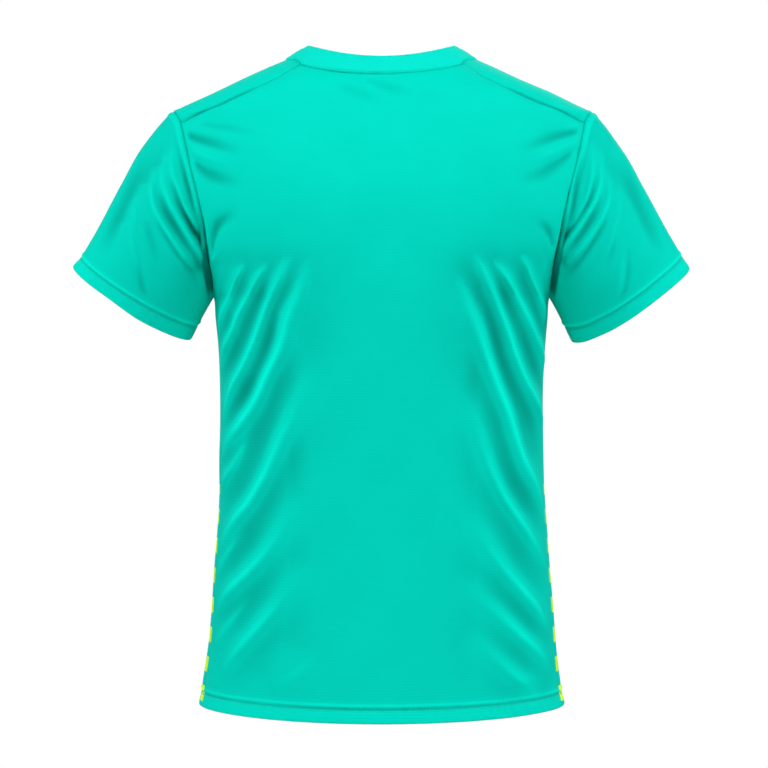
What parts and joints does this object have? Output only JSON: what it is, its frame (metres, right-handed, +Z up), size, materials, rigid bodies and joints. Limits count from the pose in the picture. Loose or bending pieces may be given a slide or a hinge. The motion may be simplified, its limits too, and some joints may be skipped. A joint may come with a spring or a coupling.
{
  "type": "sports shirt",
  "caption": "Short-sleeved crew-neck sports shirt, filled out to its worn shape, with open neck, cuffs and hem and soft drag folds at the sides.",
  "frame": {"origin": "middle of the neck opening, level with the two points where the shoulder line meets the neckband", "axes": "+Z up, +Y the way the wearer faces, +X to the wearer's right"},
  "size_m": [0.68, 0.2463, 0.7279],
  "materials": {
    "jersey": "turquoise polyester sports knit with a soft sheen",
    "neckband": "the same turquoise knit, doubled, matt"
  },
  "bodies": {
    "root": {"back_panel": "jersey", "front_panel": "jersey", "sleeve_left": "jersey", "sleeve_right": "jersey", "neckband": "neckband"}
  },
  "joints": []
}
